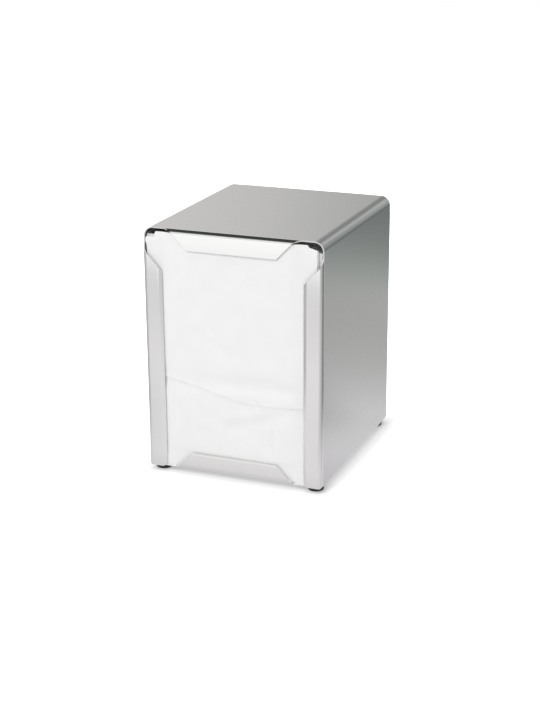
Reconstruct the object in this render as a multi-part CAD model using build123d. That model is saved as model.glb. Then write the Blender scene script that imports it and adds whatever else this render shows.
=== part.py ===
from build123d import *
import math
import os

# A table napkin dispenser with two mouths. Millimetres, X to the right, Y to the back, Z up,
# origin on the table under the middle of the body. The front mouth faces -Y.

# Body, outside sizes without the feet
body_width = 105.0
body_depth = 120.0
body_height = 140.0
top_corner_radius = 5.5

# Sheet thicknesses
casing_gauge = 0.7
base_gauge = 0.8
divider_gauge = 0.8
follower_gauge = 0.6
cup_gauge = 0.5

# Lips round each mouth: their ends are cut at an angle and run out along the bend
lip_bend_radius = 2.5
lip_cut_angle = 46.0
top_lip_height = 11.2
top_lip_edge_length = 52.2
side_lip_width = 11.1
side_lip_notch = 3.3
side_lip_bottom_gap = 0.2
side_lip_corner_radius = 3.0
side_bend_corner_radius = 2.0
base_lip_height = 10.0
base_lip_edge_length = 51.0

# Rolled free edges of the side lips and of the base lips
rolled_edge_radius = 2.0
side_rolled_width = 2.0
side_rolled_depth = 1.1
base_rolled_width = 0.9
base_rolled_depth = 0.45

# Inward flanges along the bottom of the side walls, and the base plate that lies on them
flange_width = 20.0
flange_bend_radius = 1.6
flange_relief = 1.5
base_side_clearance = 0.2

# Rubber feet, each held by a washer and a rivet
foot_height = 3.0
foot_diameter = 9.6
foot_tread_diameter = 9.0
foot_edge_radius = 0.8
foot_inset_x = 6.0
foot_inset_y = 7.4
foot_recess_diameter = 6.6
foot_recess_depth = 1.9
washer_diameter = 6.0
washer_thickness = 0.4
rivet_diameter = 3.0
rivet_hole_diameter = 3.1
rivet_head_diameter = 5.6
rivet_head_height = 0.6
rivet_closed_diameter = 4.4
rivet_closed_height = 0.6

# Coil springs, as they stand behind full stacks: close turns at the ends, open ones between
spring_coil_diameter = 30.0
spring_wire_diameter = 1.2
spring_turns = 7
spring_end_pitch = 1.75
spring_open_pitch = 2.95
spring_seat_clearance = 0.1

# Pressed cups that centre the ends of the springs
cup_brim_diameter = 36.0
cup_boss_clearance = 0.9
cup_boss_height = 3.0
cup_bend_radius = 0.8

# Followers, the flanged plates that the springs push against the napkins
follower_side_clearance = 2.2
follower_top_clearance = 1.2
follower_floor_clearance = 0.1
follower_corner_ease = 2.7
follower_rivet_clearance = 3.0
follower_bend_radius = 1.3
follower_guide_width = 46.0
follower_side_flange = 7.0
follower_back_travel = 4.0
follower_stop_clearance = 0.3

# Divider between the springs, with feet and top tabs bent forward on the right, back on the left
divider_side_clearance = 0.8
divider_bend_radius = 1.4
divider_tab_width = 12.0
divider_tab_length = 12.0
divider_tab_gap = 8.0
divider_tab_relief = 1.5
divider_rivet_inset = 5.4

# Napkins: the leading one in each mouth, and the stack behind it
napkin_side_clearance = 1.7
napkin_floor_clearance = 0.3
napkin_top_clearance = 1.3
napkin_corner_ease = 1.5
napkin_lip_clearance = 0.3
napkin_gap = 0.3
leading_napkin_thickness = 1.4
bulge_height = 1.1
bulge_edge_gap = 1.5
bulge_slope_width = 5.0

# Levels and half sizes
body_bottom = foot_height
body_top = body_bottom + body_height
base_underside = body_bottom + casing_gauge
floor_level = base_underside + base_gauge
ceiling_level = body_top - casing_gauge
middle_level = (floor_level + ceiling_level) / 2
half_width = body_width / 2
half_depth = body_depth / 2
inner_half_width = half_width - casing_gauge
inner_corner_radius = top_corner_radius - casing_gauge
raw_edge_y = half_depth - lip_bend_radius
side_lip_edge_x = half_width - side_lip_width
base_lip_top = base_underside + base_lip_height
foot_x = half_width - foot_inset_x
foot_y = half_depth - foot_inset_y
foot_places = {
    "foot_front_left": (-foot_x, -foot_y),
    "foot_front_right": (foot_x, -foot_y),
    "foot_rear_left": (-foot_x, foot_y),
    "foot_rear_right": (foot_x, foot_y),
}

# Distances from the middle of the body to what lies behind the lips, the same at both ends
divider_face = divider_gauge / 2
spring_rise = spring_end_pitch * spring_turns + (spring_open_pitch - spring_end_pitch) * (
    spring_turns - 2
)
spring_length = spring_rise + spring_wire_diameter
follower_back = divider_face + spring_length + 2 * (cup_gauge + spring_seat_clearance)
follower_front = follower_back + follower_gauge
stack_back = follower_front + napkin_gap
leading_front = half_depth - casing_gauge - side_rolled_depth - napkin_lip_clearance
leading_back = leading_front - leading_napkin_thickness
stack_front = leading_back - napkin_gap

# Divider feet and top tabs
divider_tab_x = follower_guide_width / 2 + divider_tab_gap + divider_tab_width / 2
divider_rivet_y = divider_face + divider_tab_length - divider_rivet_inset
divider_rivet_places = [(-divider_tab_x, divider_rivet_y), (divider_tab_x, -divider_rivet_y)]


def bent_sheet(points, radii, gauge):
    """Section of a bent sheet: its outside runs through points with rounded corners, and its
    inside lies one gauge to the left of that."""
    outside = FilletPolyline(*points, radius=radii)
    return make_face(offset(outside, gauge, side=Side.LEFT))


def at_both_ends(piece):
    """The piece and its mirror image at the other end of the body."""
    return piece + mirror(piece, about=Plane.XZ)


def on_both_sides(piece):
    """The piece and its mirror image on the other side of the body."""
    return piece + mirror(piece, about=Plane.YZ)


def through_body(front_view):
    """A prism with this front view, past both ends of the body."""
    return extrude(Plane.XZ * front_view, amount=body_depth, both=True)


def rivet_hole(x, y, level):
    """A hole for a rivet through the sheets near this level."""
    reach = 4 * (casing_gauge + base_gauge)
    return Pos(x, y, level) * Cylinder(rivet_hole_diameter / 2, reach)


def level_lip_view(edge_length, height):
    """Front view of a base or top lip, with its raw edge line at zero and its free edge at
    height. Its cut ends turn level as they cross the bend."""
    cut = math.radians(lip_cut_angle)
    run_out_radius = lip_bend_radius / (1 - math.cos(cut))
    half_edge = edge_length / 2
    half_bend = half_edge + (height - lip_bend_radius) / math.tan(cut)
    slope = Line((half_edge, height), (half_bend, lip_bend_radius))
    run_out = JernArc(slope @ 1, slope % 1, run_out_radius, lip_cut_angle)
    end_x = (run_out @ 1).X
    rest = Polyline(
        (end_x, 0), (end_x, -lip_bend_radius), (0, -lip_bend_radius), (0, height), (half_edge, height)
    )
    half = make_face(slope + run_out + rest)
    return half + mirror(half, about=Plane.YZ)


def side_lip_view():
    """Front view of the right side lip. Its cut top turns upright as it crosses the bend, and its
    lower corners are rounded."""
    cut = math.radians(lip_cut_angle)
    run_out_radius = lip_bend_radius / (1 - math.sin(cut))
    run_out_top = body_top - top_corner_radius - side_lip_notch
    bend_x = half_width - lip_bend_radius
    bend_z = run_out_top - run_out_radius * math.cos(cut)
    edge_z = bend_z - (bend_x - side_lip_edge_x) * math.tan(cut)
    bottom = body_bottom + side_lip_bottom_gap
    slope = Line((side_lip_edge_x, edge_z), (bend_x, bend_z))
    run_out = JernArc(slope @ 1, slope % 1, run_out_radius, 90 - lip_cut_angle)
    rest = FilletPolyline(
        (half_width, run_out_top),
        (half_width, bottom),
        (side_lip_edge_x, bottom),
        (side_lip_edge_x, edge_z),
        radius=[side_bend_corner_radius, side_lip_corner_radius],
    )
    return make_face(slope + run_out + rest)


def casing():
    """The folded sheet: side walls, top, lips at both ends and inward flanges at the bottom."""
    flange_edge_x = half_width - flange_width
    wall_section = bent_sheet(
        [
            (flange_edge_x, body_bottom),
            (half_width, body_bottom),
            (half_width, body_top),
            (-half_width, body_top),
            (-half_width, body_bottom),
            (-flange_edge_x, body_bottom),
        ],
        [flange_bend_radius, top_corner_radius, top_corner_radius, flange_bend_radius],
        casing_gauge,
    )
    wall = extrude(Plane.XZ * wall_section, amount=raw_edge_y, both=True)
    relief = Pos(0, -raw_edge_y, body_bottom) * Box(
        2 * body_width, 2 * flange_relief, 2 * flange_bend_radius
    )

    lip_root = casing_gauge
    top_section = bent_sheet(
        [
            (-raw_edge_y + lip_root, body_top),
            (-half_depth, body_top),
            (-half_depth, body_top - top_lip_height),
        ],
        [lip_bend_radius],
        casing_gauge,
    )
    top_strip = extrude(Plane.YZ * top_section, amount=half_width - top_corner_radius, both=True)
    top_view = mirror(level_lip_view(top_lip_edge_length, top_lip_height), about=Plane.XZ)
    top_lip = top_strip & through_body(Pos(0, body_top) * top_view)

    side_section = bent_sheet(
        [
            (side_lip_edge_x, -half_depth + side_rolled_depth),
            (side_lip_edge_x + side_rolled_width, -half_depth),
            (half_width, -half_depth),
            (half_width, -raw_edge_y + lip_root),
        ],
        [rolled_edge_radius, lip_bend_radius],
        casing_gauge,
    )
    side_lip = extrude(side_section, amount=body_top) & through_body(side_lip_view())

    shell = wall - at_both_ends(relief)
    shell += at_both_ends(top_lip) + at_both_ends(on_both_sides(side_lip))
    for x, y in list(foot_places.values()) + divider_rivet_places:
        shell -= rivet_hole(x, y, body_bottom)
    return shell


def base_plate():
    """The floor sheet, whose front and rear edges turn up as the lower lips."""
    rolled_start = base_lip_top - base_rolled_width
    section = bent_sheet(
        [
            (-half_depth + base_rolled_depth, base_lip_top),
            (-half_depth, rolled_start),
            (-half_depth, base_underside),
            (half_depth, base_underside),
            (half_depth, rolled_start),
            (half_depth - base_rolled_depth, base_lip_top),
        ],
        [rolled_edge_radius, lip_bend_radius, lip_bend_radius, rolled_edge_radius],
        base_gauge,
    )
    plate_half_width = half_width - flange_bend_radius - base_side_clearance
    strip = extrude(Plane.YZ * section, amount=plate_half_width, both=True)
    floor = strip & Pos(0, 0, floor_level) * Box(body_width, 2 * raw_edge_y, 4 * base_gauge)
    lip_view = Pos(0, base_underside) * level_lip_view(base_lip_edge_length, base_lip_height)
    plate = floor + (strip & through_body(lip_view))
    for x, y in list(foot_places.values()) + divider_rivet_places:
        plate -= rivet_hole(x, y, floor_level)
    return plate


def foot(x, y):
    """A round rubber foot with a rounded tread, recessed from below for its washer and rivet."""
    hole = rivet_hole_diameter / 2
    recess = foot_recess_diameter / 2
    section = FilletPolyline(
        (hole, foot_height),
        (foot_diameter / 2, foot_height),
        (foot_tread_diameter / 2, 0),
        (recess, 0),
        (recess, foot_recess_depth),
        (hole, foot_recess_depth),
        close=True,
        radius=[0, 0, foot_edge_radius, 0, 0, 0],
    )
    return Pos(x, y, 0) * revolve(Plane.XZ * make_face(section), axis=Axis.Z)


def foot_washer(x, y):
    """The flat washer in a foot's recess."""
    ring = Circle(washer_diameter / 2) - Circle(rivet_hole_diameter / 2)
    return Pos(x, y, foot_recess_depth - washer_thickness) * extrude(ring, amount=washer_thickness)


def rivet(x, y, head_seat, closed_seat):
    """A rivet with a low round head on head_seat and its closed end under closed_seat."""
    shank = rivet_diameter / 2
    head = rivet_head_diameter / 2
    closed = rivet_closed_diameter / 2
    section = FilletPolyline(
        (0, closed_seat - rivet_closed_height),
        (closed, closed_seat - rivet_closed_height),
        (closed, closed_seat),
        (shank, closed_seat),
        (shank, head_seat),
        (head, head_seat),
        (head, head_seat + rivet_head_height),
        (0, head_seat + rivet_head_height),
        close=True,
        radius=[0, rivet_closed_height / 2, 0, 0, 0, 0, rivet_head_height / 2, 0],
    )
    return Pos(x, y, 0) * revolve(Plane.XZ * make_face(section), axis=Axis.Z)


def spring_nodes():
    """Points on the spring's centre line at each half turn, each with its direction. The pitch
    is close over the first and last turn and open between them."""
    radius = spring_coil_diameter / 2
    last = 2 * spring_turns
    height = 0.0
    nodes = []
    for step in range(last + 1):
        openness = min(max(min(step, last - step) - 1, 0) / 2, 1)
        pitch = spring_end_pitch + (spring_open_pitch - spring_end_pitch) * openness
        if step > 0:
            height += (pitch + last_pitch) / 4
        last_pitch = pitch
        angle = math.pi * step
        place = Vector(radius * math.cos(angle), radius * math.sin(angle), height)
        rise = pitch / (2 * math.pi)
        direction = Vector(-radius * math.sin(angle), radius * math.cos(angle), rise)
        nodes.append((place, direction.normalized()))
    return nodes


def two_arcs(start, start_direction, end, end_direction):
    """Two arcs that lead from start to end along both directions and join smoothly."""
    chord = end - start
    directions = start_direction + end_direction
    spread = 2 * (1 - start_direction.dot(end_direction))
    along = chord.dot(directions)
    reach = (math.sqrt(along**2 + spread * chord.dot(chord)) - along) / spread
    first_corner = start + start_direction * reach
    second_corner = end - end_direction * reach
    joint = (first_corner + second_corner) / 2
    first = TangentArc(start, joint, tangent=start_direction)
    second = TangentArc(joint, end, tangent=second_corner - first_corner)
    return [first, second]


def least_coil_gap(nodes):
    """The least gap between the wire and itself, from turn to turn, on the nodes."""
    rises = [b[0].Z - a[0].Z for a, b in zip(nodes, nodes[2:])]
    return min(rises) - spring_wire_diameter


def spring():
    """One coil spring standing on zero, its axis upward."""
    nodes = spring_nodes()
    arcs = []
    for (start, start_direction), (end, end_direction) in zip(nodes, nodes[1:]):
        arcs += two_arcs(start, start_direction, end, end_direction)
    path = Wire(arcs)
    wire_section = Plane(origin=path @ 0, z_dir=path % 0) * Circle(spring_wire_diameter / 2)
    print("spring: least gap to itself", round(least_coil_gap(nodes), 2), "mm")
    return Pos(0, 0, spring_wire_diameter / 2) * sweep(wire_section, path=path)


def spring_cup():
    """A pressed cup with its brim on zero and its boss upward."""
    boss = (spring_coil_diameter - spring_wire_diameter) / 2 - cup_boss_clearance
    section = bent_sheet(
        [
            (cup_brim_diameter / 2, cup_gauge),
            (boss, cup_gauge),
            (boss, cup_boss_height),
            (0, cup_boss_height),
        ],
        [cup_bend_radius, cup_bend_radius + cup_gauge],
        cup_gauge,
    )
    return revolve(Plane.XZ * section, axis=Axis.Z)


def facing_front(distance):
    """Places a piece that stands on zero so that it stands out to the front from this distance."""
    return Pos(0, -distance, middle_level) * Rot(90, 0, 0)


def facing_rear(distance):
    """Places a piece that stands on zero so that it stands out to the rear from this distance."""
    return Pos(0, distance, middle_level) * Rot(-90, 0, 0)


def follower():
    """The front follower: a plate with rounded upper corners, guide flanges on the floor and
    under the top, and a stiffening flange down each side."""
    bend = follower_bend_radius + follower_gauge
    bottom = floor_level + follower_floor_clearance
    top = ceiling_level - follower_top_clearance
    side = inner_half_width - follower_side_clearance
    corner_radius = inner_corner_radius + follower_corner_ease
    plate_bottom = bottom + bend
    plate_side = side - bend
    foot_edge = foot_x - rivet_head_diameter / 2 - follower_rivet_clearance
    notch = plate_side - foot_edge
    outline = FilletPolyline(
        (foot_edge, plate_bottom),
        (plate_side, plate_bottom + notch),
        (plate_side, top - bend),
        (-plate_side, top - bend),
        (-plate_side, plate_bottom + notch),
        (-foot_edge, plate_bottom),
        close=True,
        radius=[0, 0, corner_radius, corner_radius, 0, 0],
    )
    plate = Pos(0, -follower_back, 0) * extrude(Plane.XZ * make_face(outline), amount=follower_gauge)

    guide_end = -divider_face - follower_back_travel - follower_stop_clearance
    guide_section = bent_sheet(
        [
            (guide_end, top),
            (-follower_front, top),
            (-follower_front, bottom),
            (guide_end, bottom),
        ],
        [bend, bend],
        follower_gauge,
    )
    guides = extrude(Plane.YZ * guide_section, amount=follower_guide_width / 2, both=True)

    flange_section = bent_sheet(
        [
            (plate_side - bend, -follower_front),
            (side, -follower_front),
            (side, -follower_back + follower_side_flange),
        ],
        [bend],
        follower_gauge,
    )
    flange_bottom = plate_bottom + notch
    flange_height = top - bend - corner_radius - flange_bottom
    flange = Pos(0, 0, flange_bottom) * extrude(flange_section, amount=flange_height)
    return plate + guides + on_both_sides(flange)


def divider():
    """The fixed plate between the springs, its feet and top tabs bent to the front on the right
    and to the rear on the left."""
    bend = divider_bend_radius + divider_gauge
    height = ceiling_level - floor_level
    blank = Pos(0, 0, middle_level) * Box(
        2 * (inner_half_width - divider_side_clearance), divider_gauge, height
    )
    blank = chamfer(blank.edges().filter_by(Axis.Y), inner_corner_radius)

    tab_section = bent_sheet(
        [
            (-divider_face - divider_tab_length, floor_level),
            (divider_face, floor_level),
            (divider_face, ceiling_level),
            (-divider_face - divider_tab_length, ceiling_level),
        ],
        [bend, bend],
        divider_gauge,
    )
    tabs = extrude(Plane.YZ * tab_section, amount=divider_tab_width / 2, both=True)
    slot = Box(divider_tab_width + 2 * divider_tab_relief, body_depth, bend + divider_tab_relief)
    slots = Pos(0, 0, floor_level) * slot + Pos(0, 0, ceiling_level) * slot
    right = Pos(divider_tab_x, 0, 0)
    left = Rot(0, 0, 180) * right
    plate = blank - right * slots - left * slots + right * tabs + left * tabs
    for x, y in divider_rivet_places:
        plate -= rivet_hole(x, y, floor_level)
    return plate


def napkin_view():
    """Front view of a stack of napkins, with its upper corners pressed round."""
    side = inner_half_width - napkin_side_clearance
    bottom = floor_level + napkin_floor_clearance
    top = ceiling_level - napkin_top_clearance
    corner_radius = inner_corner_radius + napkin_corner_ease
    outline = FilletPolyline(
        (-side, bottom),
        (side, bottom),
        (side, top),
        (-side, top),
        close=True,
        radius=[0, 0, corner_radius, corner_radius],
    )
    return make_face(outline)


def napkin_stack():
    """The front stack, with room underneath for the rivet heads on the floor."""
    thickness = stack_front - stack_back
    block = Pos(0, -stack_back, 0) * extrude(Plane.XZ * napkin_view(), amount=thickness)
    room_radius = rivet_head_diameter / 2 + napkin_gap
    room_height = 2 * (rivet_head_height + napkin_gap)
    for x, y in foot_places.values():
        block -= Pos(x, y, floor_level) * Cylinder(room_radius, room_height)
    return block


def leading_napkin():
    """The napkin against the front lips, bulging into the mouth."""
    sheet = Pos(0, -leading_back, 0) * extrude(
        Plane.XZ * napkin_view(), amount=leading_napkin_thickness
    )
    bottom = base_lip_top + bulge_edge_gap
    top = body_top - top_lip_height - bulge_edge_gap
    root_width = 2 * (side_lip_edge_x - bulge_edge_gap)
    mouth = Plane.XZ * Pos(0, (bottom + top) / 2)
    root = Pos(0, -leading_front, 0) * mouth * Rectangle(root_width, top - bottom)
    crest = Pos(0, -leading_front - bulge_height, 0) * mouth * Rectangle(
        root_width - 2 * bulge_slope_width, top - bottom - 2 * bulge_slope_width
    )
    return sheet + loft([root, crest])


def rear(piece):
    """The rear one of a pair, turned to face the rear mouth."""
    return Rot(0, 0, 180) * piece


def group(pieces):
    """Loose solids of one kind, kept together."""
    return Compound(list(pieces))


front_follower = follower()
front_napkin_stack = napkin_stack()
front_leading_napkin = leading_napkin()
coil = spring()
cup = spring_cup()
divider_brim = divider_face + cup_gauge + spring_seat_clearance
washer_underside = foot_recess_depth - washer_thickness
divider_foot_top = floor_level + divider_gauge

parts = {
    "casing": casing(),
    "base_plate": base_plate(),
    "divider": divider(),
    "front_follower": front_follower,
    "rear_follower": rear(front_follower),
    "front_spring": facing_front(divider_brim) * coil,
    "rear_spring": facing_rear(divider_brim) * coil,
    "front_spring_cup": facing_rear(-follower_back) * cup,
    "rear_spring_cup": facing_front(-follower_back) * cup,
    "divider_spring_cups": group([facing_front(divider_face) * cup, facing_rear(divider_face) * cup]),
    "front_leading_napkin": front_leading_napkin,
    "rear_leading_napkin": rear(front_leading_napkin),
    "front_napkin_stack": front_napkin_stack,
    "rear_napkin_stack": rear(front_napkin_stack),
    "foot_washers": group(foot_washer(x, y) for x, y in foot_places.values()),
    "foot_rivets": group(rivet(x, y, floor_level, washer_underside) for x, y in foot_places.values()),
    "divider_rivets": group(
        rivet(x, y, divider_foot_top, body_bottom) for x, y in divider_rivet_places
    ),
}
for name, (x, y) in foot_places.items():
    parts[name] = foot(x, y)

os.makedirs("parts", exist_ok=True)
for name, piece in parts.items():
    export_step(piece, f"parts/{name}.step")
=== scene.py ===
import math

import bmesh
import bpy
import numpy as np
from mathutils import Matrix, Vector


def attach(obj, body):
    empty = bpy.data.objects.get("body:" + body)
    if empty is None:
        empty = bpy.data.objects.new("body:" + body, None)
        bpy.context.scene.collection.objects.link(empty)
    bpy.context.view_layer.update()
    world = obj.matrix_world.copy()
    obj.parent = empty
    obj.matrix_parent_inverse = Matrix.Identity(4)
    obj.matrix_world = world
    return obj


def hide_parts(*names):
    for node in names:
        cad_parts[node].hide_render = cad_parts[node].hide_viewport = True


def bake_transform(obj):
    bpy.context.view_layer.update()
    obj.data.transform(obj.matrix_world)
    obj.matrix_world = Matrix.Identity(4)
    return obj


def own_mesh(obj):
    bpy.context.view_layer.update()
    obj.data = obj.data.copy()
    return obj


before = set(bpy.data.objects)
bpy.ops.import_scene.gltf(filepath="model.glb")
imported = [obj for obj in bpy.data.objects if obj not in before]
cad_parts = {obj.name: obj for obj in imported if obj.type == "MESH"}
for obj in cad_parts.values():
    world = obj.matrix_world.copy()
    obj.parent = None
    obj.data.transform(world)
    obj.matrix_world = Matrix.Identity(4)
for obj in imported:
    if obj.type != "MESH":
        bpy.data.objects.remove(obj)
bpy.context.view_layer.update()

MM = 0.001

# The dispenser's sizes in millimetres, X to the right, Y to the back, Z up from the table
FEET = 3.0
HALF_WIDTH = 52.5
HALF_DEPTH = 60.0
TOP = 143.0
BOTTOM = FEET
CORNER_RADIUS = 5.5
CASING_GAUGE = 0.7
BASE_GAUGE = 0.8
LIP_BEND = 2.5
LIP_CUT = math.radians(46)
RAW_EDGE = HALF_DEPTH - LIP_BEND
BASE_UNDERSIDE = BOTTOM + CASING_GAUGE
FLOOR_LEVEL = BASE_UNDERSIDE + BASE_GAUGE
CEILING = TOP - CASING_GAUGE
MIDDLE = (FLOOR_LEVEL + CEILING) / 2
SHADING_MARGIN = 0.35

# Shapes are made for the front mouth, and the second of these turns them half round to the rear
FRONT_TURN = np.array([1.0, 1.0, 1.0])
REAR_TURN = np.array([-1.0, -1.0, 1.0])


# Shapes


def unit(v):
    """A vector, or rows of vectors, divided by their own length."""
    return v / np.linalg.norm(v, axis=-1, keepdims=True)


def smooth_step(t):
    """0 below 0, 1 above 1, and 3t^2 - 2t^3 between them."""
    t = np.clip(t, 0, 1)
    return t * t * (3 - 2 * t)


def run_places(length, steps):
    """Distances along a straight run, with one more place close to each end so that a flat face
    keeps its own shading right up to a bend."""
    margin = min(SHADING_MARGIN, length / 4)
    return np.concatenate([[0.0], np.linspace(margin, length - margin, steps), [length]])


def bent_line(points, radii, run_steps=2, arc_steps=16):
    """A line through points whose corners are arcs of the given radii. Each corner's arc touches
    both of its runs at radius * tan(turn / 2) from the corner. Gives the places, their left-hand
    normals and the distances along the line."""
    points = np.array(points, float)
    places, normals = [], []
    start = points[0]
    for k in range(1, len(points)):
        along = unit(points[k] - points[k - 1])
        left = np.array([-along[1], along[0]])
        if k == len(points) - 1:
            end = points[k]
        else:
            onward = unit(points[k + 1] - points[k])
            turn = math.atan2(along[0] * onward[1] - along[1] * onward[0], along @ onward)
            end = points[k] - along * radii[k - 1] * math.tan(abs(turn) / 2)
        s = run_places(np.linalg.norm(end - start), run_steps)[:, None]
        places.append(start + s * along)
        normals.append(np.repeat(left[None], len(s), axis=0))
        if k < len(points) - 1:
            side = math.copysign(radii[k - 1], turn)
            angle = np.linspace(0, turn, arc_steps + 1)[:, None]
            swung = np.hstack(
                [
                    left[0] * np.cos(angle) - left[1] * np.sin(angle),
                    left[0] * np.sin(angle) + left[1] * np.cos(angle),
                ]
            )
            centre = end + side * left
            places.append((centre - side * swung)[1:-1])
            normals.append(swung[1:-1])
            start = centre - side * swung[-1]
    places, normals = np.vstack(places), np.vstack(normals)
    distance = np.concatenate([[0], np.cumsum(np.linalg.norm(np.diff(places, axis=0), axis=1))])
    return places, normals, distance


def closed_sheet(outside, inside, pattern):
    """A sheet between two grids of the same size: both faces and the strips round their rim.
    The faces turn outward: the order is reversed where the cross product of the grid's two
    directions points from outside to inside. pattern is the grid of each point's place in the
    flat sheet, in millimetres."""
    rows, cols = outside.shape[:2]
    count = rows * cols
    index = np.arange(count).reshape(rows, cols)
    a, b, c, d = index[:-1, :-1], index[1:, :-1], index[1:, 1:], index[:-1, 1:]
    front = np.stack([a, b, c, d], -1).reshape(-1, 4)
    back = np.stack([a, d, c, b], -1).reshape(-1, 4) + count

    def rim(first, second):
        return np.stack([first, second, second + count, first + count], -1)

    rims = [
        rim(index[1:, 0], index[:-1, 0]),
        rim(index[-1, 1:], index[-1, :-1]),
        rim(index[:-1, -1], index[1:, -1]),
        rim(index[0, :-1], index[0, 1:]),
    ]
    faces = np.vstack([front, back] + rims)
    across = np.cross(outside[1:, :-1] - outside[:-1, :-1], outside[:-1, 1:] - outside[:-1, :-1])
    outward = (outside - inside)[:-1, :-1]
    if np.sum(across * outward) < 0:
        faces = faces[:, ::-1]
    vertices = np.vstack([outside.reshape(-1, 3), inside.reshape(-1, 3)])
    flat = np.vstack([pattern.reshape(-1, 2)] * 2)
    return vertices, faces, flat


def tube(path, frames, radius, sides=14):
    """A round wire along path: each ring is radius * (cos a * first + sin a * second) of that
    place's two frame vectors, and both ends close on a low dome."""
    dome_width = np.array([0.0, 0.6, 1.0])
    dome_rise = np.array([0.6, 0.42, 0.0])[:, None] * radius
    along = unit(np.gradient(path, axis=0))
    start = path[0] - along[0] * dome_rise
    end = path[-1] + along[-1] * dome_rise[::-1]
    centres = np.vstack([start, path[1:-1], end])
    widths = np.concatenate([dome_width, np.ones(len(path) - 2), dome_width[::-1]]) * radius
    steps = np.concatenate([[0, 0, 0], np.arange(1, len(path) - 1), [len(path) - 1] * 3])
    first, second = frames[0][steps][:, None], frames[1][steps][:, None]
    angle = np.linspace(0, 2 * math.pi, sides + 1)
    ring = np.cos(angle)[None, :, None] * first + np.sin(angle)[None, :, None] * second
    grid = centres[:, None] + ring * widths[:, None, None]
    length = np.concatenate([[0], np.cumsum(np.linalg.norm(np.diff(centres, axis=0), axis=1))])
    flat = np.stack(np.meshgrid(length, angle * radius, indexing="ij"), -1)
    return round_grid(grid, flat)


def round_grid(grid, flat):
    """Faces for a grid whose last column lies on its first, as on a turned or piped shape."""
    rows, cols = grid.shape[:2]
    index = np.arange(rows * cols).reshape(rows, cols)
    a, b, c, d = index[:-1, :-1], index[1:, :-1], index[1:, 1:], index[:-1, 1:]
    faces = np.stack([a, d, c, b], -1).reshape(-1, 4)
    return grid.reshape(-1, 3), faces, flat.reshape(-1, 2)


def turned(profile, centre, sides=48):
    """A shape turned about the vertical through centre: radius and height follow profile."""
    profile = np.array(profile, float)
    angle = np.linspace(0, 2 * math.pi, sides + 1)
    x = centre[0] + profile[:, :1] * np.cos(angle)
    y = centre[1] + profile[:, :1] * np.sin(angle)
    z = np.repeat(profile[:, 1:2], sides + 1, axis=1)
    length = np.concatenate([[0], np.cumsum(np.linalg.norm(np.diff(profile, axis=0), axis=1))])
    flat = np.stack(np.meshgrid(length, angle * profile[:, 0].max(), indexing="ij"), -1)
    return round_grid(np.stack([x, y, z], -1), flat)


def placed(shape, turn):
    """A shape turned half way round for the rear mouth, or left as it is for the front one."""
    vertices, faces, flat = shape
    return vertices * turn, faces, flat


def across_middle(shape):
    """The same shape on the other side of the body: x changes sign and the faces turn over."""
    vertices, faces, flat = shape
    return vertices * np.array([-1.0, 1.0, 1.0]), faces[:, ::-1], flat


def make_piece(name, shapes, material, sharp=40):
    """One mesh of several shapes, given in millimetres, with a map of the flat sheet. Points that
    meet are merged, and edges bent by more than the sharp angle stay crisp."""
    vertices, faces, flats, count = [], [], [], 0
    for points, quads, flat in shapes:
        vertices.append(points * MM)
        faces.append(quads + count)
        flats.append(flat * MM)
        count += len(points)
    vertices, faces, flats = np.vstack(vertices), np.vstack(faces), np.vstack(flats)
    mesh = bpy.data.meshes.new(name)
    mesh.vertices.add(len(vertices))
    mesh.vertices.foreach_set("co", vertices.ravel())
    mesh.loops.add(faces.size)
    mesh.loops.foreach_set("vertex_index", faces.ravel())
    mesh.polygons.add(len(faces))
    mesh.polygons.foreach_set("loop_start", np.arange(0, faces.size, 4))
    mesh.polygons.foreach_set("use_smooth", np.ones(len(faces), bool))
    mesh.update(calc_edges=True)
    flat_map = mesh.uv_layers.new(name="flat_sheet")
    flat_map.data.foreach_set("uv", flats[faces.ravel()].ravel())
    mesh.validate()
    work = bmesh.new()
    work.from_mesh(mesh)
    bmesh.ops.remove_doubles(work, verts=work.verts, dist=0.001 * MM)
    bmesh.ops.recalc_face_normals(work, faces=work.faces)
    work.to_mesh(mesh)
    work.free()
    mesh.set_sharp_from_angle(angle=math.radians(sharp))
    piece = bpy.data.objects.new(name, mesh)
    bpy.context.scene.collection.objects.link(piece)
    mesh.materials.append(material)
    return piece


# Materials


def linear(code):
    """A colour written as sRGB hex, as the linear values that a shader takes."""
    parts = [int(code[k : k + 2], 16) / 255 for k in (1, 3, 5)]
    plain = [c / 12.92 if c <= 0.04045 else ((c + 0.055) / 1.055) ** 2.4 for c in parts]
    return (*plain, 1.0)


def add_node(tree, kind, settings=None, stops=(), **links):
    """Adds a node. settings go to its properties or, by socket name or number, to its inputs.
    stops are a colour ramp's, each a position and a hex colour. Each link joins a node's first
    output, or the output that a pair names, to an input, given by name or as i and its number."""
    node = tree.nodes.new(kind)
    for key, value in (settings or {}).items():
        if isinstance(key, int) or key in node.inputs:
            node.inputs[key].default_value = value
        else:
            setattr(node, key, value)
    for k, (position, code) in enumerate(stops):
        elements = node.color_ramp.elements
        element = elements[k] if k < 2 else elements.new(position)
        element.position, element.color = position, linear(code)
    for key, source in links.items():
        numbered = key[0] == "i" and key[1:].isdigit()
        socket = node.inputs[int(key[1:]) if numbered else key]
        output = source[0].outputs[source[1]] if isinstance(source, tuple) else source.outputs[0]
        tree.links.new(output, socket)
    return node


def new_material(name):
    """An empty node material with its output, and the tree to add to."""
    material = bpy.data.materials.new(name)
    material.use_nodes = True
    material.node_tree.nodes.clear()
    return material, material.node_tree


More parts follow.
